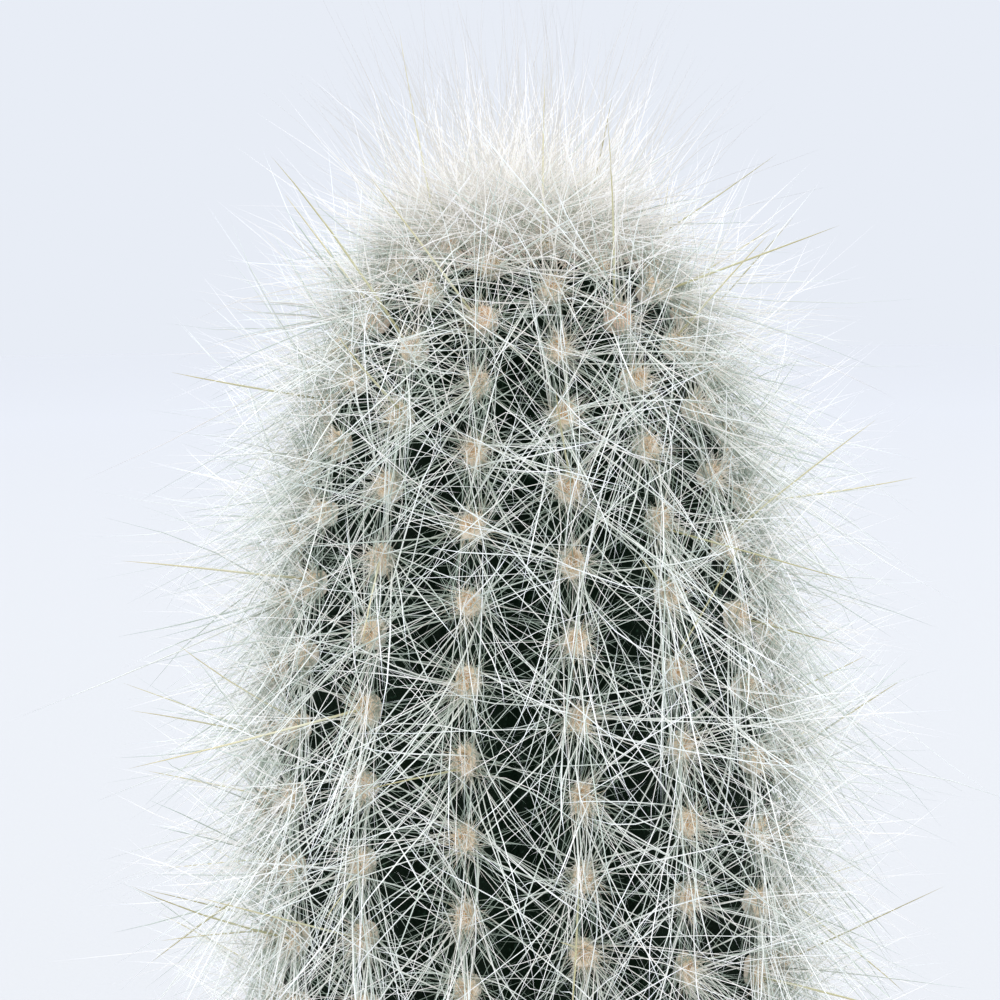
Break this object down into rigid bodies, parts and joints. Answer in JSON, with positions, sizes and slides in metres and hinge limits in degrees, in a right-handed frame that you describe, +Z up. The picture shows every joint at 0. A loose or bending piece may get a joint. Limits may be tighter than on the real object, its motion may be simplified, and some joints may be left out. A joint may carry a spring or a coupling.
{
  "type": "potted silver torch cactus",
  "caption": "Columnar ribbed cactus with felt cushions and long silvery bristle spines, rooted in gritty compost in a stepped clay pot with a drain hole.",
  "frame": {"origin": "middle of the pot's foot, on the surface that it stands on", "axes": "+Z up along the stem; the pictured side faces -Y"},
  "size_m": [0.1, 0.1, 0.2068],
  "materials": {
    "terracotta": "unglazed fired clay, matt, slightly gritty",
    "compost": "crumbly peat with grit",
    "grit": "washed mineral grit, matt",
    "cactus_skin": "dark green waxy skin",
    "felt": "cream wool",
    "bristle": "silvery white bristle, slightly glossy",
    "straw_spine": "stouter straw-coloured spines, slightly glossy"
  },
  "bodies": {
    "root": {"pot": "terracotta", "compost": "compost", "cactus": "cactus_skin"}
  },
  "joints": []
}
